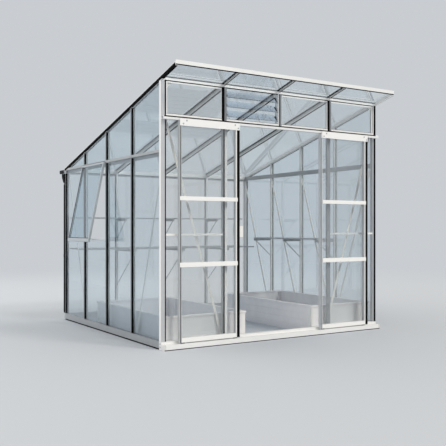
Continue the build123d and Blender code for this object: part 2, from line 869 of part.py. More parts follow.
def leaf_rollers(x0):
    """Two hangers on top of a leaf, each with a pair of grooved rollers on the lips of the track."""
    y = -track_reach / 2
    lip = track_bottom + track_wall
    axle = lip + play + roller_diameter / 2
    spread = (track_reach - 2 * track_wall) / 2 - roller_width - play
    hangers = []
    for x in (x0 + hanger_inset, x0 + leaf_width - leaf_seal - hanger_inset):
        plate = prism_up(rectangle(x - hanger_width / 2, x + hanger_width / 2,
                                   y - hanger_thickness / 2, y + hanger_thickness / 2), leaf_top, axle)
        crown = Pos(x, y, axle) * Rot(90, 0, 0) * Cylinder(axle_diameter, hanger_thickness)
        shaft = Pos(x, y, axle) * Rot(90, 0, 0) * Cylinder(axle_diameter / 2, 2 * (spread + roller_width))
        hanger = plate + crown + shaft
        for side in (-1, 1):
            hanger += Pos(x, y + side * (spread + roller_width / 2), axle) * roller()
        hangers.append(hanger)
    return solids_of(hangers)


def roller():
    """Roller turned about its axle, with a rounded groove round its tread."""
    r = roller_diameter / 2
    h = roller_width / 2
    profile = Polygon((0, -h), (r, -h), (r, -h + roller_groove), (r - roller_groove / 2, 0),
                      (r, h - roller_groove), (r, h), (0, h), align=None)
    return Rot(90, 0, 0) * revolve(Plane.XZ * profile, axis=Axis.Z)


def leaf_edge_seal(x0):
    """Black brush strip down the right edge of a leaf."""
    x1 = x0 + leaf_width
    outline = rectangle(x1 - leaf_seal, x1, -leaf_back - leaf_depth, -leaf_back)
    return prism_up(outline, leaf_bottom, leaf_top)


def door_handle(x0):
    """White pull plate behind the closing edge of the left leaf."""
    edge = x0 + leaf_width
    inner = edge - leaf_seal - handle_lap
    top = handle_bottom + handle_height
    y0 = -leaf_back + handle_gap
    plate = prism_back(rectangle(inner, edge + handle_reach, handle_bottom, top), y0, y0 + handle_thickness)
    boss = prism_up(rectangle(inner, edge - leaf_seal, -leaf_back, y0), handle_bottom, top)
    return plate + boss


def bed(x0, x1):
    """Raised bed of grooved boards with a rim on top and a post in each corner."""
    y0 = bed_front
    y1 = bed_front + bed_length

    def ring(grow, wall, z0, z1):
        outer = prism_up(rectangle(x0 - grow, x1 + grow, y0 - grow, y1 + grow), z0, z1)
        hole = rectangle(x0 - grow + wall, x1 + grow - wall, y0 - grow + wall, y1 + grow - wall)
        return outer - prism_up(hole, z0, z1)

    board_top = bed_height - bed_rim_height
    box = ring(-bed_joint_depth, bed_wall - bed_joint_depth, 0, board_top)
    step = board_top / bed_board_count
    for k in range(bed_board_count):
        box += ring(0, bed_wall, k * step, (k + 1) * step - bed_joint_height)
    for x in (x0, x1 - bed_post):
        for y in (y0, y1 - bed_post):
            box += prism_up(rectangle(x, x + bed_post, y, y + bed_post), 0, board_top)
    return box + ring(bed_rim_lap, bed_wall + 2 * bed_rim_lap, board_top, bed_height)


rear_tiers = [(staging_depth, staging_top), (upper_shelf_depth, upper_shelf_top)]


def slatted_shelf(x0, x1, y0, y1, top, bearers):
    """Slats along X on cross bearers, the outer slats flush with the edges."""
    count = max(2, round((y1 - y0 + slat_gap) / (slat_width + slat_gap)))
    step = (y1 - y0 - slat_width) / (count - 1)
    under = top - slat_thickness
    shelf = None
    for x in bearers:
        plan = rectangle(x - bearer_width / 2, x + bearer_width / 2, y0, y1)
        bearer = prism_up(plan, under - bearer_height, under)
        shelf = bearer if shelf is None else shelf + bearer
    for k in range(count):
        y = y0 + k * step
        shelf += prism_up(rectangle(x0, x1, y, y + slat_width), under, top)
    return shelf


def rear_shelves():
    """Deep staging and a narrow shelf over it, both carried by the rear wall's bars."""
    back = house_depth - post_size - play
    left_end = -half_width + post_size + brace_thickness + shelf_wall_gap
    right_end = half_width - staging_end_gap
    return solids_of([slatted_shelf(left_end, right_end, back - depth, back, top, bar_lines)
                      for depth, top in rear_tiers])


def side_shelf():
    """Shelf along the right wall, drawn along X and turned to run along Y."""
    outer = half_width - post_size - brace_thickness - play
    y0 = side_bar_lines[0] - foot_width / 2
    y1 = side_bar_lines[-1] + foot_width / 2
    bearers = [side_bar_lines[0], side_bar_lines[1], side_bar_lines[-1]]
    shelf = slatted_shelf(y0, y1, 0, side_shelf_depth, side_shelf_top, bearers)
    return Pos(outer, 0, 0) * Rot(0, 0, 90) * shelf


def strut(reach, top):
    """Diagonal strut from a wall at 0 out under a shelf of that reach, as (outward, up)."""
    fall = reach * strut_fall
    w = strut_width
    return [(0, top - fall - w), (0, top - fall), (reach - 2 * w, top), (reach - w, top)]


def shelf_struts():
    struts = []
    wall = house_depth - post_size
    for depth, top in rear_tiers:
        under = top - slat_thickness - bearer_height
        outline = [(wall - out, z) for out, z in strut(depth, under)]
        for line in bar_lines:
            struts.append(prism_across(outline, line - strut_thickness / 2, line + strut_thickness / 2))
    wall = half_width - post_size
    under = side_shelf_top - slat_thickness - bearer_height
    outline = [(wall - out, z) for out, z in strut(side_shelf_depth, under)]
    for line in side_bar_lines:
        struts.append(prism_back(outline, line - strut_thickness / 2, line + strut_thickness / 2))
    return solids_of(struts)


left_leaf_start = -left_leaf_edge - leaf_width
right_leaf_start = right_leaf_edge
left_bed_side = -half_width + left_bed_gap
right_bed_side = half_width - right_bed_gap

nodes = {
    "front_sill": front_sill(),
    "ledge_caps": ledge_caps(),
    "rear_sill": rear_sill(),
    "side_sills": side_sills(),
    "corner_posts": corner_posts(),
    "front_wall_bars": front_wall_bars(),
    "left_wall_bars": side_wall_bars("left"),
    "right_wall_bars": side_wall_bars("right"),
    "rear_wall_bars": rear_wall_bars(),
    "head_rail": head_rail(),
    "fascia_rail": fascia_rail(),
    "eaves_rail": eaves_rail(),
    "side_rails": side_rails(),
    "mid_rails": mid_rails(),
    "door_track": door_track(),
    "front_wall_glass": front_wall_glass(),
    "left_wall_glass": side_wall_glass("left"),
    "right_wall_glass": side_wall_glass("right"),
    "rear_wall_glass": rear_wall_glass(),
    "roof_bars": roof_bars(),
    "roof_front_bar": roof_front_bar(),
    "roof_glass": roof_glass(),
    "gutter": gutter(),
    "downpipe": downpipe(),
    "wall_braces": wall_braces(),
    "gussets": gussets(),
    "louvre_sides": louvre_sides(),
    "louvre_blades": louvre_blades(),
    "window_frame": window_frame(),
    "window_glass": window_glass(),
    "window_stay": window_stay(),
    "left_door_frame": leaf_frame(left_leaf_start),
    "left_door_head": leaf_head(left_leaf_start),
    "left_door_glass": leaf_glass(left_leaf_start),
    "left_door_rollers": leaf_rollers(left_leaf_start),
    "left_door_seal": leaf_edge_seal(left_leaf_start),
    "left_door_handle": door_handle(left_leaf_start),
    "right_door_frame": leaf_frame(right_leaf_start),
    "right_door_head": leaf_head(right_leaf_start),
    "right_door_glass": leaf_glass(right_leaf_start),
    "right_door_rollers": leaf_rollers(right_leaf_start),
    "right_door_seal": leaf_edge_seal(right_leaf_start),
    "left_bed": bed(left_bed_side, left_bed_side + left_bed_width),
    "right_bed": bed(right_bed_side - right_bed_width, right_bed_side),
    "rear_shelves": rear_shelves(),
    "side_shelf": side_shelf(),
    "shelf_struts": shelf_struts(),
}

for name, shape in nodes.items():
    export_step(shape, f"parts/{name}.step")
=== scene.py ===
import math
import bmesh
import bpy
from mathutils import Matrix, Vector


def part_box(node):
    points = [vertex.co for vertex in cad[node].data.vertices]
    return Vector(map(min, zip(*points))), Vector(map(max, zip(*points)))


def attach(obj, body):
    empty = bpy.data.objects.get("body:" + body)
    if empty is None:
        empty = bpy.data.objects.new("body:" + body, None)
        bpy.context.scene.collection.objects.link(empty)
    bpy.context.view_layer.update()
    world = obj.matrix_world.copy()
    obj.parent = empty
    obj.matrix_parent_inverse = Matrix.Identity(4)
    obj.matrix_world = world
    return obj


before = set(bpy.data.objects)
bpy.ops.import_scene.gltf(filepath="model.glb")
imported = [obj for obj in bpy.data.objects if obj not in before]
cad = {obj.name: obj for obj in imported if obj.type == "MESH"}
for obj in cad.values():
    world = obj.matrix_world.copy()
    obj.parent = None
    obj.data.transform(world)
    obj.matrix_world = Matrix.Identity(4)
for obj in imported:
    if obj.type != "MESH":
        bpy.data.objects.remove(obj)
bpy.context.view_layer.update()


# Studio. A pale floor runs out into a surround of the same tone, so no horizon shows. A soft sun from
# the front right throws thin shadows, and a broad lamp behind on the left, which the panes don't
# mirror, brightens what faces it. The camera stands a little over a metre up and looks level.

def linear(code):
    """Linear colour, with full opacity, of an sRGB hex code."""
    parts = [int(code[k:k + 2], 16) / 255 for k in (1, 3, 5)]
    return [v / 12.92 if v <= 0.04045 else ((v + 0.055) / 1.055) ** 2.4 for v in parts] + [1.0]


def add_node(tree, kind, settings=None, links=None):
    """Shader node with its settings, on sockets or on the node itself, and its incoming links."""
    node = tree.nodes.new("ShaderNode" + kind)
    for key, value in (settings or {}).items():
        if isinstance(key, int) or key in node.inputs:
            node.inputs[key].default_value = value
        else:
            setattr(node, key, value)
    for key, source in (links or {}).items():
        tree.links.new(source, node.inputs[key])
    return node


def seen_rays(tree):
    """1 for the rays that look at things, straight or in metal and glass, and 0 for those that light them."""
    rays = add_node(tree, "LightPath")
    looks = add_node(tree, "Math", {"operation": "ADD"},
                     {0: rays.outputs["Is Camera Ray"], 1: rays.outputs["Is Glossy Ray"]})
    return add_node(tree, "Math", {"operation": "ADD", "use_clamp": True},
                    {0: looks.outputs[0], 1: rays.outputs["Is Transmission Ray"]}).outputs[0]


surround_colour = "#C9CDD1"
surround_light = "#F2ECE2"
surround_light_strength = 1.0
floor_colour = "#C0C7D1"
floor_roughness = 0.9
floor_specular = 0.1
floor_radius = 70
floor_fade = (4.5, 14)

world = bpy.data.worlds.new("pale_surround")
bpy.context.scene.world = world
world.use_nodes = True
tree = world.node_tree
tree.nodes.clear()
seen = add_node(tree, "Background", {"Color": linear(surround_colour), "Strength": 1})
light = add_node(tree, "Background", {"Color": linear(surround_light), "Strength": surround_light_strength})
both = add_node(tree, "MixShader", links={0: seen_rays(tree), 1: light.outputs[0], 2: seen.outputs[0]})
add_node(tree, "OutputWorld", links={"Surface": both.outputs[0]})

bm = bmesh.new()
bmesh.ops.create_circle(bm, cap_ends=True, radius=floor_radius, segments=128)
mesh = bpy.data.meshes.new("studio_floor")
bm.to_mesh(mesh)
bm.free()
floor = bpy.data.objects.new("studio_floor", mesh)
bpy.context.scene.collection.objects.link(floor)
paper = bpy.data.materials.new("studio_paper")
paper.use_nodes = True
tree = paper.node_tree
sheet = tree.nodes["Principled BSDF"]
sheet.inputs["Base Color"].default_value = linear(floor_colour)
sheet.inputs["Roughness"].default_value = floor_roughness
sheet.inputs["Specular IOR Level"].default_value = floor_specular
place = add_node(tree, "TexCoord")
reach = add_node(tree, "VectorMath", {"operation": "LENGTH"}, {0: place.outputs["Object"]})
fade = add_node(tree, "MapRange", {"interpolation_type": "SMOOTHERSTEP", "From Min": floor_fade[0],
                                   "From Max": floor_fade[1]}, {"Value": reach.outputs["Value"]})
far = add_node(tree, "Math", {"operation": "MULTIPLY"}, {0: fade.outputs[0], 1: seen_rays(tree)})
glow = add_node(tree, "Emission", {"Color": linear(surround_colour), "Strength": 1})
both = add_node(tree, "MixShader", links={0: far.outputs[0], 1: sheet.outputs[0], 2: glow.outputs[0]})
tree.links.new(both.outputs[0], tree.nodes["Material Output"].inputs["Surface"])
mesh.materials.append(paper)


def add_lamp(name, kind, place, target, energy, **settings):
    """Lamp at a place, turned to a target, and hidden from the camera, also behind panes."""
    data = bpy.data.lights.new(name, kind)
    data.energy = energy
    for key, value in settings.items():
        setattr(data, key, value)
    lamp = bpy.data.objects.new(name, data)
    bpy.context.scene.collection.objects.link(lamp)
    lamp.location = place
    lamp.rotation_euler = (Vector(target) - Vector(place)).to_track_quat("-Z", "Y").to_euler()
    lamp.visible_camera = False
    lamp.visible_transmission = False
    return lamp


house_middle = (0, 1.28, 1.1)
sun_place = (3.5, -5.5, 8)
sun_strength = 1.2
sun_spread = math.radians(14)
sun_colour = "#FFF9F0"
panel_place = (-9, 9, 4.5)
panel_power = 600
panel_width = 15
panel_height = 8
panel_colour = "#E9ECEE"
add_lamp("sun_front_right", "SUN", sun_place, house_middle, sun_strength, angle=sun_spread,
         color=linear(sun_colour)[:3])
panel = add_lamp("panel_back_left", "AREA", panel_place, house_middle, panel_power, shape="RECTANGLE",
                 size=panel_width, size_y=panel_height, color=linear(panel_colour)[:3])
panel.visible_glossy = False

camera_place = (-4.0937, -5.687, 1.0873)
camera_turn = 33.38
camera_shift = (-0.0599, 0.0091)
camera_reach = 200
sensor_width = 36
focal_length = 57.66
camera = bpy.data.objects.new("camera", bpy.data.cameras.new("camera"))
bpy.context.scene.collection.objects.link(camera)
camera.location = camera_place
camera.rotation_euler = (math.radians(90), 0, math.radians(-camera_turn))
camera.data.sensor_width = sensor_width
camera.data.lens = focal_length
camera.data.shift_x, camera.data.shift_y = camera_shift
camera.data.clip_end = camera_reach
bpy.context.scene.camera = camera
bpy.context.scene.view_settings.view_transform = "Standard"


# Sill frame. Extruded aluminium box section all round the foot, left as it comes from the press; the front's
# near-white is painted highlight and the sides' grey is painted shade. The ledge that guides the doors ends
# in moulded nylon blocks, pushed on against thin rubber joints. Black strips lie along the ground at the
# sides and rear, the one under the front ledge is painted shadow, and hexagon bolts hold the corners.

def plain_material(name):
    """New material with a principled surface. Returns it, its node tree and the surface's node."""
    material = bpy.data.materials.new(name)
    material.use_nodes = True
    return material, material.node_tree, material.node_tree.nodes["Principled BSDF"]


def extruded_aluminium(name, face, marks, along, roughness, metallic=0.5):
    """Mill-finish extrusion, its thin oxide skin matt and pale over the metal. The press leaves faint die
    lines along the bar, here 3 mm apart so that they show, and handling leaves cloudy marks of about
    90 mm. Along is the axis of the bars."""
    line_spacing, line_squeeze, mark_size = 0.003, 0.015, 0.09
    material, tree, metal = plain_material(name)
    metal.inputs["Metallic"].default_value = metallic
    place = add_node(tree, "TexCoord").outputs["Object"]
    stretch = [1, 1, 1]
    stretch[along] = line_squeeze
    lined = add_node(tree, "Mapping", {"Scale": stretch}, {"Vector": place})
    lines = add_node(tree, "TexNoise", {"Scale": 1 / line_spacing, "Detail": 2}, {"Vector": lined.outputs[0]})
    cloud = add_node(tree, "TexNoise", {"Scale": 1 / mark_size, "Detail": 3}, {"Vector": place})
    tone = add_node(tree, "Mix", {"data_type": "RGBA", 6: linear(marks), 7: linear(face)},
                    {0: cloud.outputs[0]})
    satin = add_node(tree, "MapRange", {"To Min": roughness - 0.06, "To Max": roughness + 0.08},
                     {"Value": lines.outputs[0]})
    grain = add_node(tree, "Bump", {"Strength": 0.25, "Distance": 0.0002}, {"Height": lines.outputs[0]})
    tree.links.new(tone.outputs[2], metal.inputs["Base Color"])
    tree.links.new(satin.outputs[0], metal.inputs["Roughness"])
    tree.links.new(grain.outputs[0], metal.inputs["Normal"])
    return material


def moulded_plastic(name, colour, tone, roughness, bump):
    """Moulded plastic, rubber or coating, even in colour, with a fine skin drawn at 1.5 mm so that it
    shows."""
    grain_size, mottle_size = 0.0015, 0.04
    material, tree, plastic = plain_material(name)
    plastic.inputs["IOR"].default_value = 1.49
    place = add_node(tree, "TexCoord").outputs["Object"]
    skin = add_node(tree, "TexNoise", {"Scale": 1 / grain_size, "Detail": 2}, {"Vector": place})
    mottle = add_node(tree, "TexNoise", {"Scale": 1 / mottle_size, "Detail": 2}, {"Vector": place})
    shade = add_node(tree, "Mix", {"data_type": "RGBA", 6: linear(tone), 7: linear(colour)},
                     {0: mottle.outputs[0]})
    gloss = add_node(tree, "MapRange", {"To Min": roughness - 0.05, "To Max": roughness + 0.05},
                     {"Value": skin.outputs[0]})
    relief = add_node(tree, "Bump", {"Strength": bump, "Distance": 0.0002}, {"Height": skin.outputs[0]})
    tree.links.new(shade.outputs[2], plastic.inputs["Base Color"])
    tree.links.new(gloss.outputs[0], plastic.inputs["Roughness"])
    tree.links.new(relief.outputs[0], plastic.inputs["Normal"])
    return material


def finish_nodes(material, *names):
    """Put one material on whole CAD nodes."""
    for name in names:
        slots = cad[name].data.materials
        slots.clear()
        slots.append(material)


def add_block(bm, corner, opposite, rounding=0.0006):
    """Block between two opposite corners, its edges rounded. Returns its vertices."""
    low = Vector([min(pair) for pair in zip(corner, opposite)])
    high = Vector([max(pair) for pair in zip(corner, opposite)])
    corners = bmesh.ops.create_cube(bm, size=1)["verts"]
    bmesh.ops.scale(bm, vec=high - low, verts=corners)
    bmesh.ops.translate(bm, vec=(low + high) / 2, verts=corners)
    edges = {edge for point in corners for edge in point.link_edges}
    return bmesh.ops.bevel(bm, geom=list(edges), offset=rounding, offset_type="OFFSET", segments=2,
                           profile=0.5, affect="EDGES", material=-1)["verts"]


washer_radius = 0.0075
washer_height = 0.0014
head_radius = 0.0055
head_height = 0.0050
head_chamfer = 0.0005


def add_bolt(bm, place, outward):
    """Hexagon bolt head on a washer, against the surface at a place, with chamfered rims."""
    turn = Vector((0, 0, 1)).rotation_difference(Vector(outward)).to_matrix().to_4x4()
    foot = Matrix.Translation(place) @ turn
    for sides, radius, low, high in ((16, washer_radius, 0, washer_height),
                                     (6, head_radius, washer_height, head_height)):
        middle = foot @ Matrix.Translation((0, 0, (low + high) / 2))
        made = bmesh.ops.create_cone(bm, cap_ends=True, segments=sides, radius1=radius, radius2=radius,
                                     depth=high - low, matrix=middle)
        rim = {edge for corner in made["verts"] for edge in corner.link_edges
               if all(abs((foot.inverted() @ end.co).z - high) < 1e-6 for end in edge.verts)}
        bmesh.ops.bevel(bm, geom=list(rim), offset=head_chamfer, offset_type="OFFSET", segments=1,
                        profile=0.5, affect="EDGES", material=-1)


def add_piece(name, bm, material, body):
    """Object from a finished bmesh, with its material, riding on a body."""
    bmesh.ops.recalc_face_normals(bm, faces=bm.faces)
    mesh = bpy.data.meshes.new(name)
    bm.to_mesh(mesh)
    bm.free()
    mesh.materials.append(material)
    piece = bpy.data.objects.new(name, mesh)
    bpy.context.scene.collection.objects.link(piece)
    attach(piece, body)


# These are copies of one aluminium, toned by how light falls: the near-white across the front is painted
# highlight, the grey of the deep side bars painted shade.
highlight_x = extruded_aluminium("aluminium_across_painted_highlight", "#F6F7F8", "#ECEEF0", 0, 0.4, 0.2)
shade_y = extruded_aluminium("aluminium_deep_painted_shade", "#B4B8BC", "#A8ACB1", 1, 0.38)
grey_x = extruded_aluminium("satin_aluminium_across", "#C8CCD0", "#B9BEC3", 0, 0.38)
zinc_bolts = extruded_aluminium("zinc_plated_steel", "#C9CCD0", "#B4B8BC", 2, 0.3)
white_nylon = moulded_plastic("moulded_white_nylon", "#E6E7E8", "#DCDDDF", 0.45, 0.3)
# This black serves the rubber seals and also the strips that are painted shade and shadow.
rubber_and_shade_black = moulded_plastic("black_rubber_and_painted_shade", "#060607", "#0A0A0B", 0.75, 0.4)
rubber_and_shade_black.node_tree.nodes["Principled BSDF"].inputs["Specular IOR Level"].default_value = 0.08
finish_nodes(highlight_x, "front_sill")
finish_nodes(grey_x, "rear_sill")
finish_nodes(shade_y, "side_sills")
finish_nodes(white_nylon, "ledge_caps")

post_low, post_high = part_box("corner_posts")
left, right, rear = post_low.x, post_high.x, post_high.y
sill_low, sill_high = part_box("front_sill")
cap_low, cap_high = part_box("ledge_caps")
sill_top = sill_high.z
post_width = 0.045

bite = 0.0005
strip_edge = 0.0005
seal_edge = 0.0008

end_block = 0.0135
joint_gap = 0.0012
joint_proud = 0.0003
joint_edge = 0.0002
bm = bmesh.new()
for x in (sill_low.x + end_block, sill_high.x - end_block):
    add_block(bm, (x - joint_gap / 2, cap_low.y - joint_proud, bite),
              (x + joint_gap / 2, bite, cap_high.z + joint_proud), joint_edge)
add_piece("ledge_joints", bm, rubber_and_shade_black, "house")

foot_height = 0.012
foot_proud = 0.0015
ledge_shadow_height = 0.007
ledge_shadow_proud = 0.0012
ledge_shadow_inset = 0.002
ledge_shadow_back = 0.001
bm = bmesh.new()
for x, out in ((left, -1), (right, 1)):
    add_block(bm, (x, post_width, 0), (x + out * foot_proud, rear - post_width, foot_height), strip_edge)
add_block(bm, (left + post_width, rear, 0), (right - post_width, rear + foot_proud, foot_height), strip_edge)
# This strip under the front ledge is painted shadow.
add_block(bm, (cap_low.x + ledge_shadow_inset, sill_low.y - ledge_shadow_proud, 0),
          (cap_high.x - ledge_shadow_inset, sill_low.y + ledge_shadow_back, ledge_shadow_height), strip_edge)
add_piece("ground_strips_and_ledge_shadow", bm, rubber_and_shade_black, "house")

sill_bolt_inset = 0.022
side_bolt_rows = (0.024, 0.052)
rear_bolt_row = 0.036
bm = bmesh.new()
for x, out in ((left, -1), (right, 1)):
    for y in (sill_bolt_inset, rear - sill_bolt_inset):
        for z in side_bolt_rows:
            add_bolt(bm, (x, y, z), (out, 0, 0))
for x in (left + sill_bolt_inset, right - sill_bolt_inset):
    add_bolt(bm, (x, rear, rear_bolt_row), (0, 1, 0))
add_piece("sill_bolts", bm, zinc_bolts, "house")


# Corner posts. Square aluminium extrusions with a rounded outer corner, bolted onto the sills; their grey is
# painted shade. Black rubber is pressed into the grooves of their faces and along the fascia panes. Thin
# white strips on the outer sides of the front posts and, beside the fascia, on the right-hand one's face are
# painted highlight.

# The posts' grey is painted shade; this white serves white-coated parts and painted highlights.
shade_z = extruded_aluminium("aluminium_upright_painted_shade", "#D2D5D8", "#C6C9CD", 2, 0.36)
white_coat_and_highlight = moulded_plastic("white_powder_coat_and_painted_highlight", "#F6F7F8", "#EDEFF1", 0.35, 0.1)
finish_nodes(shade_z, "corner_posts")
rail_low, rail_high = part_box("fascia_rail")
head_low, head_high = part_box("head_rail")
track_low, track_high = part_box("door_track")

clearance = 0.001
seal_width = 0.004
seal_front = 0.003
glass_face = 0.008
strip_proud = 0.0015
post_edge = left + post_width + 0.0002
groove_strips = ((right - 0.030, right - 0.004, sill_top, track_low.z - clearance),
                 (right - 0.032, right - 0.003, track_high.z + clearance, head_low.z + clearance),
                 (left + 0.033, post_edge, rail_low.z, head_low.z + clearance),
                 (left + 0.035, post_edge, sill_top + clearance, track_low.z - clearance),
                 (left + 0.012, left + 0.040, head_low.z + 0.012, head_high.z - 0.004))
rear_strip_foot = sill_top + 0.003
rear_strip_head = 1.715
rear_strip_y = (rear - 0.037, rear - 0.002)
flank_depth = 0.0155
flank_proud = 0.0014
flank_edge = 0.0004
bm = bmesh.new()
for x, inward in ((left + post_width, 1), (right - post_width, -1)):
    add_block(bm, (x, seal_front, rail_high.z), (x + inward * seal_width, glass_face, head_low.z), seal_edge)
for x0, x1, low, high in groove_strips:
    add_block(bm, (x0, -strip_proud, low), (x1, bite, high), strip_edge)
for x, out in ((left, -1), (right, 1)):
    add_block(bm, (x - out * bite, rear_strip_y[0], rear_strip_foot),
              (x + out * strip_proud, rear_strip_y[1], rear_strip_head), strip_edge)
    add_block(bm, (x - out * bite, rear - post_width - flank_proud, rear_strip_foot),
              (x - out * flank_depth, rear - post_width + bite, rear_strip_head), flank_edge)
add_piece("post_seals", bm, rubber_and_shade_black, "house")

roof_fall = 0.255
roof_turn = math.atan(roof_fall)
roof_low, roof_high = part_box("roof_bars")
roof_front = roof_high.z + roof_fall * roof_low.y


def roof_over(y):
    """Height of the roof bars' top face at y."""
    return roof_front - roof_fall * y


# White strips on the posts' outer sides and on the right post's face are painted highlight.
post_highlight_y = (0.004, 0.041)
post_highlight_foot_gap = 0.002
post_highlight_roof_gap = 0.036
post_highlight_proud = 0.0010
face_highlight_proud = 0.0012
post_highlight_edge = 0.0004
face_highlights = ((0.003, head_low.z + 0.0015, head_high.z - clearance), (0.0325, rail_low.z, head_low.z))
bm = bmesh.new()
for x, out in ((left, -1), (right, 1)):
    add_block(bm, (x - out * bite, post_highlight_y[0], sill_top + post_highlight_foot_gap),
              (x + out * post_highlight_proud, post_highlight_y[1], roof_over(post_highlight_y[1]) - post_highlight_roof_gap), post_highlight_edge)
for outer, low, high in face_highlights:
    add_block(bm, (right - post_width + bite, -face_highlight_proud, low), (right - outer, bite, high),
              post_highlight_edge)
add_piece("post_highlight_strips", bm, white_coat_and_highlight, "house")


# Glazing bars of the walls. Each aluminium bar holds two panes under a black rubber profile whose shoulders
# slope to the glass, and a narrow satin crown, grey in the fascia, is pressed in along its middle. The bars'
# near-white is painted light, and on the left wall the rubber's extra width on the front side is painted
# shade. The two bars beside the doorway have flat covers over the jamb.

# The bars' near-white is painted light.
lit_z = extruded_aluminium("aluminium_upright_painted_light", "#EEF0F2", "#E3E6E9", 2, 0.38, 0.2)
# This grey serves the crowns and the right jamb, and also painted shade down the right leaf's left stile.
crowns_and_shade = extruded_aluminium("satin_aluminium_crowns_and_painted_shade", "#A7ABB0", "#999EA3", 2, 0.36)
grey_crowns = extruded_aluminium("grey_aluminium_crowns", "#8E9297", "#83878C", 2, 0.4)
finish_nodes(lit_z, "front_wall_bars", "left_wall_bars", "right_wall_bars", "rear_wall_bars")

bar_half = 0.014
front_low, front_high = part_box("front_wall_bars")
side_low, side_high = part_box("left_wall_bars")
bar_x = [front_low.x + bar_half, 0, front_high.x - bar_half]
bar_y = [side_low.y + bar_half, (side_low.y + side_high.y) / 2, side_high.y - bar_half]
shoulder_rise = 0.0088
crown_lap = 0.0005
crown_rise = 0.0010
crown_ridge = 0.0018


def add_profile(bm, section, run):
    """Section of a few points in space, extruded along a vector."""
    face = bm.faces.new([bm.verts.new(point) for point in section])
    made = bmesh.ops.extrude_face_region(bm, geom=[face])["geom"]
    moved = [part for part in made if isinstance(part, bmesh.types.BMVert)]
    bmesh.ops.translate(bm, vec=run, verts=moved)


def bar_cover(seals, crowns, along, outward, middle, face, top, low, high, edges):
    """Rubber profile and crown of an upright bar: along and outward are directions in plan, middle is
    the bar's place, face the depth at which the rubber meets the pane and top that of the crown. Edges
    are where the rubber, the crown, the crown again and the rubber end across the bar."""
    outer0, crown0, crown1, outer1 = edges
    shoulder = face + shoulder_rise
    rubber = [(outer0, face), (outer0, shoulder), (crown0, top), (crown1, top), (outer1, shoulder),
              (outer1, face)]
    crown = [(crown0 - crown_lap, top - crown_lap), (crown0 - crown_lap, top + crown_rise),
             ((crown0 + crown1) / 2, top + crown_ridge),
             (crown1 + crown_lap, top + crown_rise), (crown1 + crown_lap, top - crown_lap)]
    for target, section, lap in ((seals, rubber, 0), (crowns, crown, crown_lap)):
        foot = Vector(middle) + Vector((0, 0, low - lap))
        points = [foot + Vector(along) * t + Vector(outward) * n for t, n in section]
        add_profile(target, points, Vector((0, 0, high - low + 2 * lap)))


side_rail_drop = 0.027
side_rail_height = 0.025
side_rail_bottom = roof_over(rear) - side_rail_drop
side_rail_top = side_rail_bottom + side_rail_height
rake_depth = 0.0365
bar_end_gap = 0.003
# On the left wall the rubber reaches wider on the front side; that extra black is painted shade.
left_edges_with_shade = (-0.023, -0.009, 0.009, 0.016)
narrow_edges = (-0.0135, -0.009, 0.009, 0.0135)
side_face, side_crown = -0.0158, 0.0002
rear_face, rear_crown = -0.0078, 0.006
fascia_face, fascia_crown = -0.0078, 0.009
for wall, x, outward, edges in (("left", left, (-1, 0, 0), left_edges_with_shade),
                                ("right", right, (1, 0, 0), narrow_edges)):
    seals, crowns = bmesh.new(), bmesh.new()
    for y in bar_y:
        under_rake = roof_over(y + edges[3]) - rake_depth
        for low, high in ((sill_top + bar_end_gap, side_rail_bottom - bar_end_gap),
                          (side_rail_top + clearance, under_rake)):
            bar_cover(seals, crowns, (0, 1, 0), outward, (x, y, 0), side_face, side_crown, low, high, edges)
    add_piece(wall + "_bar_seals", seals, rubber_and_shade_black, "house")
    add_piece(wall + "_bar_crowns", crowns, crowns_and_shade, "house")

eaves_gap = 0.002
under_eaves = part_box("eaves_rail")[0].z - eaves_gap
seals, crowns = bmesh.new(), bmesh.new()
for x in bar_x:
    bar_cover(seals, crowns, (1, 0, 0), (0, 1, 0), (x, rear, 0), rear_face, rear_crown,
              sill_top + bar_end_gap, under_eaves, narrow_edges)
add_piece("rear_bar_seals", seals, rubber_and_shade_black, "house")
add_piece("rear_bar_crowns", crowns, crowns_and_shade, "house")

fascia_edges = ((-0.026, -0.003, 0.0195, 0.0215), (-0.001, 0.001, 0.0195, 0.0215),
                (-0.018, 0.001, 0.0195, 0.0215))
jamb_lap = 0.0006
jamb_proud = 0.0009
jamb_depth = 0.0090
jamb_reach = 0.0300
jamb_edge = 0.0012
jamb_seal_end = 0.0040
jamb_seal_edge = 0.0003
left_jamb = (bar_x[0] + jamb_seal_end + 0.0002, bar_x[0] + jamb_reach)
right_jamb = (bar_x[2] - jamb_reach, bar_x[2] + bar_half + jamb_lap)
seals, crowns = bmesh.new(), bmesh.new()
for x, edges in zip(bar_x, fascia_edges):
    bar_cover(seals, crowns, (1, 0, 0), (0, -1, 0), (x, 0, 0), fascia_face, fascia_crown,
              rail_low.z, head_low.z - clearance, edges)
add_block(seals, (bar_x[0] - bar_half - jamb_lap, -jamb_proud, sill_top + bar_end_gap),
          (bar_x[0] + jamb_seal_end, bite, track_low.z - clearance), jamb_seal_edge)
left_cover, right_cover = bmesh.new(), bmesh.new()
for cover, (x0, x1) in ((left_cover, left_jamb), (right_cover, right_jamb)):
    add_block(cover, (x0, -jamb_proud, sill_top + clearance), (x1, jamb_depth, rail_low.z - clearance),
              jamb_edge)
add_piece("right_door_jamb", right_cover, crowns_and_shade, "house")
add_piece("front_bar_seals", seals, rubber_and_shade_black, "house")
add_piece("front_bar_crowns", crowns, grey_crowns, "house")
add_piece("left_door_jamb", left_cover, white_coat_and_highlight, "house")


# Rails of the walls. Aluminium extrusions bolted across the posts and bars; the near-white of the head,
# fascia, eaves and mid rails is painted highlight, and the side rails' darker grey is painted shade. The
# fascia panes stand between lips of black rubber, with thin white beads along their upper and upright edges.

# The side rails' darker grey is painted shade; the white of the other rails is painted highlight.
side_rail_shade = extruded_aluminium("aluminium_side_rails_painted_shade", "#BABEC2", "#ADB2B6", 1, 0.4, 0.35)
finish_nodes(highlight_x, "head_rail", "fascia_rail", "eaves_rail")
finish_nodes(white_coat_and_highlight, "mid_rails")
finish_nodes(side_rail_shade, "side_rails")

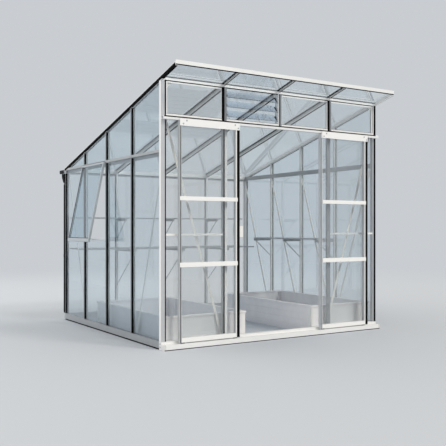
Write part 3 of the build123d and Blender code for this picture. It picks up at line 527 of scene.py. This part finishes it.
lower_lip = 0.003
upper_lip = 0.008
lip_front = 0.002
bead_front = 0.0035
bead_gap = 0.0002
head_bead = 0.014
bead_foot = rail_high.z + lower_lip + bead_gap
bead_head = head_low.z - upper_lip - bead_gap
fascia_left = left + post_width
fascia_right = right - post_width
fascia_bays = ((fascia_left + seal_width, bar_x[0] + fascia_edges[0][0], 0.011, 0.0075),
               (bar_x[1] + fascia_edges[1][3], bar_x[2] + fascia_edges[2][0], 0.015, 0.011),
               (bar_x[2] + fascia_edges[2][3], fascia_right - seal_width, 0.003, 0.011))
seals, beads = bmesh.new(), bmesh.new()
for low, high in ((rail_high.z, rail_high.z + lower_lip), (head_low.z - upper_lip, head_low.z)):
    add_block(seals, (fascia_left + clearance, lip_front, low), (fascia_right - clearance, glass_face, high),
              seal_edge)
for x0, x1, left_bead, right_bead in fascia_bays:
    for low, high in (((x0, bead_head - head_bead), (x1, bead_head)),
                      ((x0, bead_foot), (x0 + left_bead, bead_head - head_bead)),
                      ((x1 - right_bead, bead_foot), (x1, bead_head - head_bead))):
        add_block(beads, (low[0] + bead_gap, bead_front, low[1]), (high[0] - bead_gap, glass_face, high[1]),
                  seal_edge)
add_piece("fascia_pane_seals", seals, rubber_and_shade_black, "house")
add_piece("fascia_beads", beads, white_coat_and_highlight, "house")

bm = bmesh.new()
for x, out in ((left, -1), (right, 1)):
    for y in bar_y:
        add_bolt(bm, (x, y, (side_rail_bottom + side_rail_top) / 2), (out, 0, 0))
add_piece("side_rail_bolts", bm, zinc_bolts, "house")


# Panes of the walls. Float glass 4 mm thick with ground edges, clear with the faint green blue of its
# iron, held by the rubber of the bars. The panes let the lamps' rays straight through, so that the
# inside is lit.

def float_glass(name, tint, shadow_tint):
    """Clear float glass. Its polish gives sharp reflections, and its iron a faint cool tint. The index is
    set over glass's 1.5, so that the panes mirror the plain surround clearly."""
    material, tree, pane = plain_material(name)
    pane.inputs["Base Color"].default_value = linear(tint)
    pane.inputs["Roughness"].default_value = 0
    pane.inputs["IOR"].default_value = 1.8
    pane.inputs["Transmission Weight"].default_value = 1
    lamp_rays = add_node(tree, "LightPath").outputs["Is Shadow Ray"]
    through = add_node(tree, "BsdfTransparent", {"Color": linear(shadow_tint)})
    both = add_node(tree, "MixShader", links={0: lamp_rays, 1: pane.outputs[0], 2: through.outputs[0]})
    tree.links.new(both.outputs[0], tree.nodes["Material Output"].inputs["Surface"])
    return material


front_pane = float_glass("float_glass_front", "#FAFBFB", "#FAFBFB")
side_pane = float_glass("float_glass_side", "#E6F0F6", "#F4F7F7")
finish_nodes(front_pane, "front_wall_glass", "rear_wall_glass")
finish_nodes(side_pane, "left_wall_glass", "right_wall_glass")


# Braces and gussets. White-coated flat aluminium bars run from the posts down to the feet of the bars,
# and curved plates stiffen the fascia's outer corners. All are bolted on.

white_flats = moulded_plastic("white_coated_flats", "#FCFCFA", "#F4F4F1", 0.35, 0.1)
finish_nodes(white_flats, "wall_braces", "gussets")

gusset_low, gusset_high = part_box("gussets")
gusset_holes = ((0.011, 0.012), (0.048, 0.008), (0.008, 0.048))
bm = bmesh.new()
for x, inward in ((gusset_low.x, 1), (gusset_high.x, -1)):
    for across, down in gusset_holes:
        add_bolt(bm, (x + inward * across, gusset_low.y, gusset_high.z - down), (0, -1, 0))
add_piece("gusset_bolts", bm, zinc_bolts, "house")


# Roof. Rake bars and glazing bars of aluminium carry four long panes, pressed down by black rubber on both
# sides of each cap. The bars' near-white is painted light, and a black strip along the foot of each bar
# inside is painted shade of its slot. Black strips face the rakes' sides and undersides. A bar whose
# near-white is painted highlight closes the front edge, and the black strip under it is painted shade.

# The roof bars' near-white is painted light.
roof_bars_lit = extruded_aluminium("roof_bars_painted_light", "#FAFBFB", "#F0F2F3", 1, 0.4, 0.1)
roof_pane = float_glass("float_glass_roof", "#F0F7FA", "#F6F9FA")
finish_nodes(roof_bars_lit, "roof_bars")
finish_nodes(highlight_x, "roof_front_bar")
finish_nodes(roof_pane, "roof_glass")


def roof_block(bm, across, along, depth):
    """Rounded block along the fall of the roof, between two depths under the top of the bars."""
    stretch = math.sqrt(1 + roof_fall ** 2)
    corners = add_block(bm, (across[0], along[0] * stretch, -depth[0]),
                        (across[1], along[1] * stretch, -depth[1]))
    bmesh.ops.rotate(bm, cent=(0, 0, 0), matrix=Matrix.Rotation(-roof_turn, 3, "X"), verts=corners)
    bmesh.ops.translate(bm, vec=(0, 0, roof_front), verts=corners)


def between_bars(start, bars, half, stop):
    """Ends of the stretches that bars of a half width leave free between a start and a stop."""
    ends = [start] + [bar + step for bar in bars for step in (-half, half)] + [stop]
    return zip(ends[::2], ends[1::2])


overhang = roof_low.y
rake_start = overhang + 0.0095
rake_stop = rear - 0.004
rake_width = 0.0225
front_end = -0.001
room_inset = post_width + 0.005
over_pane_seal = ((0.0215, 0.0265), (overhang + 0.006, rear + 0.010), (0.0005, 0.0050))
under_pane_seal = ((0.0150, 0.0210), (overhang + 0.022, rear - 0.050), (0.0094, 0.0120))
overhang_strip = (0.0045, (overhang + 0.020, front_end), (0.0240, 0.0260))
# The strip along the foot of each bar inside is painted shade of its slot.
room_slot_shade = (0.0085, (room_inset, rear - room_inset), (0.0456, 0.0480))
rake_facing = (0.0060, 0.0344)
rake_underside = (0.0336, 0.0362)
left_overhang_underside = (0.0336, 0.0356)
rake_strip_width = 0.0090
bay_half = 0.0145
bm = bmesh.new()
for x in bar_x:
    for side in (-1, 1):
        for (inner, outer), along, depth in (over_pane_seal, under_pane_seal):
            roof_block(bm, (x + side * inner, x + side * outer), along, depth)
    for half, along, depth in (overhang_strip, room_slot_shade):
        roof_block(bm, (x - half, x + half), along, depth)
for x, out in ((left, -1), (right, 1)):
    roof_block(bm, (x - out * bite, x + out * strip_proud), (rake_start, rake_stop), rake_facing)
    for bay in between_bars(post_width + clearance, bar_y, bay_half, rear - post_width - clearance):
        roof_block(bm, (x - out * bite, x - out * rake_strip_width), bay, rake_underside)
roof_block(bm, (left + bite, left + rake_width), (rake_start, front_end), left_overhang_underside)
add_piece("roof_seals", bm, rubber_and_shade_black, "house")

front_bar_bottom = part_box("roof_front_bar")[0].z
# The black strip under the front bar is painted shade.
front_shade_inset = 0.002
front_shade_drop = 0.0090
front_shade_proud = 0.0030
bm = bmesh.new()
add_block(bm, (left + front_shade_inset, overhang - front_shade_proud, front_bar_bottom - front_shade_drop),
          (right - front_shade_inset, overhang + clearance, front_bar_bottom + bite), seal_edge)
add_piece("front_bar_shade", bm, rubber_and_shade_black, "house")

head_seal_y = (-0.0055, 0.0004)
head_seal_drop = (0.0045, 0.0002)
roof_bar_half = 0.0050
bm = bmesh.new()
for x0, x1 in between_bars(left + rake_width, bar_x, roof_bar_half, right - rake_width):
    add_block(bm, (x0, head_seal_y[0], head_high.z - head_seal_drop[0]),
              (x1, head_seal_y[1], head_high.z - head_seal_drop[1]), seal_edge)
add_piece("head_rail_seal", bm, rubber_and_shade_black, "house")


# Gutter and downpipe. A folded, grey-coated aluminium channel with black end plates hangs under the
# low edge on straps. A black coated pipe swings back to the rear corner, where a black clip and a
# plated one hold it.

gutter_low, gutter_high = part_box("gutter")
end_plate = 0.0025
end_colour = "#050506"
gutter_metallic = 0.35
gutter_specular = 0.1
gutter_finish = extruded_aluminium("grey_coated_gutter", "#BFC4C9", "#B1B6BC", 0, 0.42, gutter_metallic)
tree = gutter_finish.node_tree
coat = tree.nodes["Principled BSDF"].inputs
place = add_node(tree, "TexCoord").outputs["Object"]
across = add_node(tree, "SeparateXYZ", links={0: place}).outputs["X"]
out = add_node(tree, "Math", {"operation": "ABSOLUTE"}, {0: across})
end = add_node(tree, "Math", {"operation": "GREATER_THAN", 1: gutter_high.x - end_plate}, {0: out.outputs[0]})
capped = add_node(tree, "Mix", {"data_type": "RGBA", 7: linear(end_colour)},
                  {0: end.outputs[0], 6: coat["Base Color"].links[0].from_socket})
sheen = add_node(tree, "MapRange", {"To Min": gutter_metallic, "To Max": 0.0}, {"Value": end.outputs[0]})
coat["Specular IOR Level"].default_value = gutter_specular
tree.links.new(capped.outputs[2], coat["Base Color"])
tree.links.new(sheen.outputs[0], coat["Metallic"])
black_pipe = moulded_plastic("black_coated_pipe", "#0E0F10", "#141516", 0.45, 0.2)
finish_nodes(gutter_finish, "gutter")
finish_nodes(black_pipe, "downpipe")

strap_places = (-0.95, -0.32, 0.32, 0.95)
strap_half = 0.009
strap_rise = 0.0020
bm = bmesh.new()
for x in strap_places:
    add_block(bm, (x - strap_half, gutter_low.y + clearance, gutter_high.z - bite),
              (x + strap_half, gutter_high.y - bite, gutter_high.z + strap_rise), seal_edge)
add_piece("gutter_straps", bm, gutter_finish, "house")

pipe_low, pipe_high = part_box("downpipe")
pipe_radius = (pipe_high.x - pipe_low.x) / 2
pipe_x = pipe_low.x + pipe_radius
pipe_y = pipe_low.y + pipe_radius
clip_wall = 0.0018
clip_radius = pipe_radius + clip_wall
clip_height = 0.022
clip_foot = 0.006
clip_lap = 0.004
for name, z, finish, slot in (("pipe_clips", 0.75, black_pipe, "gutter_grey"),
                              ("pipe_neck_clip", 1.60, zinc_bolts, "aluminium")):
    bm = bmesh.new()
    bmesh.ops.create_cone(bm, cap_ends=False, segments=40, radius1=clip_radius, radius2=clip_radius,
                          depth=clip_height, matrix=Matrix.Translation((pipe_x, pipe_y, z)))
    add_block(bm, (pipe_x - clip_foot, rear - clearance, z - clip_height / 2),
              (pipe_x + clip_foot, pipe_y - clip_radius + clip_lap, z + clip_height / 2), seal_edge)
    add_piece(name, bm, finish, "house")


# Louvre. Three tilted glass blades over the doorway let warm air out. They lie in dark moulded clips,
# which are pressed into two upright aluminium channels screwed between the rails.

def clipped_channel(name, channel, clip, edges):
    """Bright channel with dark moulded clips, which are what stands between the two inner edges. Both
    are smooth, with a faint unevenness of 2 mm in their shine."""
    grain_size = 0.002
    material, tree, metal = plain_material(name)
    place = add_node(tree, "TexCoord").outputs["Object"]
    across = add_node(tree, "SeparateXYZ", links={0: place}).outputs["X"]
    after = add_node(tree, "Math", {"operation": "GREATER_THAN", 1: edges[0]}, {0: across})
    before = add_node(tree, "Math", {"operation": "LESS_THAN", 1: edges[1]}, {0: across})
    dark = add_node(tree, "Math", {"operation": "MULTIPLY"}, {0: after.outputs[0], 1: before.outputs[0]})
    skin = add_node(tree, "TexNoise", {"Scale": 1 / grain_size, "Detail": 2}, {"Vector": place})
    tone = add_node(tree, "Mix", {"data_type": "RGBA", 6: linear(channel), 7: linear(clip)},
                    {0: dark.outputs[0]})
    bare = add_node(tree, "Math", {"operation": "SUBTRACT", 0: 1.0}, {1: dark.outputs[0]})
    satin = add_node(tree, "MapRange", {"To Min": 0.3, "To Max": 0.45}, {"Value": skin.outputs[0]})
    tree.links.new(tone.outputs[2], metal.inputs["Base Color"])
    tree.links.new(bare.outputs[0], metal.inputs["Metallic"])
    tree.links.new(satin.outputs[0], metal.inputs["Roughness"])
    return material


louvre_low, louvre_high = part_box("louvre_sides")
channel_width = 0.0202
louvre_channel = clipped_channel("louvre_channel", "#DFE2E5", "#2A2D31",
                                 (louvre_low.x + channel_width, louvre_high.x - channel_width))
blade_pane = float_glass("float_glass_blades", "#E3EBF4", "#EDF3F6")
finish_nodes(louvre_channel, "louvre_sides")
finish_nodes(blade_pane, "louvre_blades")


# Top-hung window. A light frame of four mitred aluminium bars, hung on the side rail and propped open
# by a pierced stay. Black rubber is pressed into its rear stile, its bottom rail and over its head.

window_bars = extruded_aluminium("grey_aluminium_window", "#C3CAD0", "#B7BEC5", 2, 0.38, 0.3)
flat_bars = extruded_aluminium("bright_aluminium_flats", "#E9ECEE", "#DCE0E3", 2, 0.32)
window_pane = float_glass("float_glass_window", "#D0E2EC", "#EEF4F7")
finish_nodes(window_bars, "window_frame")
finish_nodes(flat_bars, "window_stay")
finish_nodes(window_pane, "window_glass")

window_turn = math.radians(11.5)
window_low, window_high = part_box("window_frame")
window_height = 0.839
frame_thickness = 0.022
hinge_gap = 0.0003
hinge = Vector((left - hinge_gap, 0, window_high.z - frame_thickness * math.sin(window_turn)))
hang = Matrix.Translation(hinge) @ Matrix.Rotation(window_turn, 4, "Y")
face_seal_x = (-frame_thickness - 0.0012, -frame_thickness + 0.004)
hinge_seal_x = (-frame_thickness + 0.001, -0.001)
stile_seal_y = (window_high.y - 0.0215, window_high.y - 0.0165)
rail_seal_y = (window_low.y + 0.019, window_high.y - 0.019)
hinge_seal_y = (window_low.y + 0.004, window_high.y - 0.004)
stile_seal_z = (-window_height + 0.036, -0.021)
rail_seal_z = (-window_height + 0.034, -window_height + 0.039)
hinge_seal_z = (0.0002, 0.0040)
bm = bmesh.new()
for (x0, x1), (y0, y1), (z0, z1) in ((face_seal_x, stile_seal_y, stile_seal_z),
                                     (face_seal_x, rail_seal_y, rail_seal_z),
                                     (hinge_seal_x, hinge_seal_y, hinge_seal_z)):
    parts = add_block(bm, (x0, y0, z0), (x1, y1, z1))
    bmesh.ops.transform(bm, matrix=hang, verts=parts)
add_piece("window_seals", bm, rubber_and_shade_black, "house")


# Door track. One aluminium channel across the whole front, its near-white painted highlight, bolted through
# the posts and bars. The doors' rollers run in its slot, and a black strip along its upper edge is painted
# shadow of the gap under the fascia rail.

finish_nodes(highlight_x, "door_track")
# A black strip along the top of the track is painted shadow of the gap under the fascia rail.
track_shadow_height = 0.010
track_shadow_proud = 0.0008
track_shadow_depth = 0.003
track_shadow_x = (left + 0.008, right - 0.041)
bm = bmesh.new()
add_block(bm, (track_shadow_x[0], track_low.y - track_shadow_proud, track_high.z - track_shadow_height),
          (track_shadow_x[1], track_low.y + track_shadow_depth, track_high.z + track_shadow_proud), seal_edge)
add_piece("track_gap_shadow", bm, rubber_and_shade_black, "house")


# Sliding doors. Each leaf is an aluminium frame of pale stiles and rails with clear panes. White strips over
# its rails and right stile, and the white of its head plate, are painted highlight, and a strip down its left
# stile is painted shade. It hangs by a wide head plate from rollers in the track, and is shod with black
# guides that run in the sill's groove. A brush in a black holder closes the right-hand edge of each.

leaf_stiles = extruded_aluminium("pale_aluminium_leaf", "#DFE1E4", "#D4D7DA", 2, 0.38, 0.35)
# The white of the leaves' strips and head plates is painted highlight.
white_highlight = extruded_aluminium("white_anodised_covers", "#FAFBFC", "#F3F4F5", 0, 0.42, 0.1)
door_pane = float_glass("float_glass_doors", "#F6F8F9", "#F6F8F8")
brush_seal = moulded_plastic("black_brush_seal", "#090909", "#0F0F10", 0.9, 0.8)
brush_seal.node_tree.nodes["Principled BSDF"].inputs["Specular IOR Level"].default_value = 0.1
# This grey down the left leaf's left stile is painted shade of its groove.
groove_shade = moulded_plastic("grey_painted_groove_shade", "#4A4D51", "#535659", 0.7, 0.4)
white_handle = moulded_plastic("moulded_white_handle", "#FDFDFC", "#F6F6F5", 0.3, 0.15)
finish_nodes(white_handle, "left_door_handle")

foot_rail = (0.058, 0.042)
cross_rails = ((0.730, 0.040), (1.325, 0.036))
cross_lap = 0.0006
cross_proud = 0.0016
cross_end = 0.0110
highlight_back = 0.0025
door_highlight_edge = 0.0010
plate_proud = 0.0003
plate_lap = 0.003
stile_foot = 0.020
stile_highlight_x = (-0.0305, -0.0190)
stile_highlight_y = (-0.0006, 0.0020)
foot_highlight_x = (0.0205, -0.030)
foot_highlight_y = (0.0015, 0.0035)
head_bolts = ((0.016, 0.018), (0.050, 0.047))
holder_x = (-0.0190, 0.0115)
holder_y = (-0.0010, 0.0020)
holder_z = (0.0190, -0.002)
strip_width = 0.0080
strip_y = (-0.0006, 0.0010)
strip_rounding = 0.0003
first_guide_x = (0.0195, 0.0605)
second_guide_x = (-0.0485, -0.0075)
guide_y = -0.034
guide_half = 0.0032
guide_z = (-0.0004, 0.016)

for side, highlight_start, plate_start, strip_start, strip_shade, strip_slot in (
        ("left", 0.0010, 0.0010, 0.0060, groove_shade, "black_seal"),
        ("right", 0.0205, 0.0110, 0.0020, crowns_and_shade, "aluminium")):
    body = side + "_door"
    finish_nodes(leaf_stiles, body + "_frame")
    finish_nodes(white_highlight, body + "_head")
    finish_nodes(door_pane, body + "_glass")
    finish_nodes(white_nylon, body + "_rollers")
    finish_nodes(brush_seal, body + "_seal")
    leaf_low, leaf_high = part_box(body + "_frame")
    plate_low, plate_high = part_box(body + "_head")
    start, stop, front = leaf_low.x, leaf_high.x, leaf_low.y
    stile_z = (leaf_low.z + stile_foot, plate_low.z - clearance)

    bm = bmesh.new()
    for bottom, height in cross_rails:
        add_block(bm, (start + highlight_start, front - cross_proud, bottom - cross_lap),
                  (stop - cross_end, front + highlight_back, bottom + height + cross_lap), door_highlight_edge)
    add_block(bm, (start + plate_start, plate_low.y - plate_proud, plate_low.z + bite),
              (plate_low.x + plate_lap, front + highlight_back, plate_high.z - bite), door_highlight_edge)
    add_block(bm, (stop + stile_highlight_x[0], front + stile_highlight_y[0], stile_z[0]),
              (stop + stile_highlight_x[1], front + stile_highlight_y[1], stile_z[1]), seal_edge)
    add_block(bm, (start + foot_highlight_x[0], front + foot_highlight_y[0], foot_rail[0] + clearance),
              (stop + foot_highlight_x[1], front + foot_highlight_y[1], sum(foot_rail) - clearance), seal_edge)
    add_piece(body + "_covers", bm, white_highlight, body)

    bm = bmesh.new()
    for inset, rise in head_bolts:
        for x in (plate_low.x + inset, plate_high.x - inset):
            add_bolt(bm, (x, plate_low.y, plate_low.z + rise), (0, -1, 0))
    add_piece(body + "_head_bolts", bm, zinc_bolts, body)

    bm = bmesh.new()
    add_block(bm, (stop + holder_x[0], front + holder_y[0], leaf_low.z + holder_z[0]),
              (stop + holder_x[1], front + holder_y[1], leaf_high.z + holder_z[1]))
    add_piece(body + "_brush_holder", bm, brush_seal, body)

    # This strip down the leaf's left stile is painted shade.
    bm = bmesh.new()
    add_block(bm, (start + strip_start, front + strip_y[0], stile_z[0]),
              (start + strip_start + strip_width, front + strip_y[1], stile_z[1]), strip_rounding)
    add_piece(body + "_shade_strip", bm, strip_shade, body)

    bm = bmesh.new()
    for end, guide_x in ((start, first_guide_x), (stop, second_guide_x)):
        add_block(bm, (end + guide_x[0], guide_y - guide_half, leaf_low.z + guide_z[0]),
                  (end + guide_x[1], guide_y + guide_half, leaf_low.z + guide_z[1]), seal_edge)
    add_piece(body + "_guide_shoes", bm, rubber_and_shade_black, body)


# Raised beds. Open boxes of grooved boards with a rim, of pale powder-coated sheet, that stand on the
# ground. White profiles are pushed over their corners and hold the boards together.

def coated_boards(name, face, dusty, dust_height):
    """Powder-coated sheet, pale grey, smooth with a slight orange peel of 2 mm, and a little dust low
    down and in clouds of 120 mm."""
    peel_size, cloud_size = 0.002, 0.12
    material, tree, coat = plain_material(name)
    coat.inputs["IOR"].default_value = 1.5
    place = add_node(tree, "TexCoord").outputs["Object"]
    height = add_node(tree, "SeparateXYZ", links={0: place}).outputs["Z"]
    above = add_node(tree, "MapRange", {"From Min": 0.0, "From Max": dust_height}, {"Value": height})
    peel = add_node(tree, "TexNoise", {"Scale": 1 / peel_size, "Detail": 1}, {"Vector": place})
    cloud = add_node(tree, "TexNoise", {"Scale": 1 / cloud_size, "Detail": 3}, {"Vector": place})
    clean = add_node(tree, "Math", {"operation": "MULTIPLY"}, {0: above.outputs[0], 1: cloud.outputs[0]})
    tone = add_node(tree, "Mix", {"data_type": "RGBA", 6: linear(dusty), 7: linear(face)},
                    {0: clean.outputs[0]})
    gloss = add_node(tree, "MapRange", {"To Min": 0.38, "To Max": 0.5}, {"Value": peel.outputs[0]})
    relief = add_node(tree, "Bump", {"Strength": 0.2, "Distance": 0.0002}, {"Height": peel.outputs[0]})
    tree.links.new(tone.outputs[2], coat.inputs["Base Color"])
    tree.links.new(gloss.outputs[0], coat.inputs["Roughness"])
    tree.links.new(relief.outputs[0], coat.inputs["Normal"])
    return material


bed_boards = coated_boards("pale_powder_coated_boards", "#F4F4F7", "#E2E2E8", 0.07)
corner_finish = moulded_plastic("white_corner_profiles", "#F1F2F3", "#E7E8EA", 0.35, 0.2)
finish_nodes(bed_boards, "left_bed", "right_bed")

corner_leg = 0.046
corner_proud = 0.0015
corner_foot = 0.001
rim_lap = 0.008
rim_height = 0.0165
bm = bmesh.new()
for bed in ("left_bed", "right_bed"):
    low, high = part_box(bed)
    for x, into in ((low.x + rim_lap, 1), (high.x - rim_lap, -1)):
        for y, on in ((low.y + rim_lap, 1), (high.y - rim_lap, -1)):
            outer = (x - into * corner_proud, y - on * corner_proud, corner_foot)
            for reach_x, reach_y in ((corner_leg, bite), (bite, corner_leg)):
                inner = (x + into * reach_x, y + on * reach_y, high.z - rim_height)
                add_block(bm, outer, inner, strip_edge)
add_piece("bed_corners", bm, corner_finish, "house")


# Staging and shelves. Ribbed aluminium slats on cross bearers run along the rear and the right wall,
# where struts carry them from the wall bars. All is extruded, with a satin face, and bolted together.

slats_across = extruded_aluminium("satin_aluminium_slats_across", "#BCC0C4", "#ABB0B5", 0, 0.4)
slats_deep = extruded_aluminium("satin_aluminium_slats_deep", "#BCC0C4", "#ABB0B5", 1, 0.4)
finish_nodes(slats_across, "rear_shelves")
finish_nodes(slats_deep, "side_shelf")
finish_nodes(grey_x, "shelf_struts")
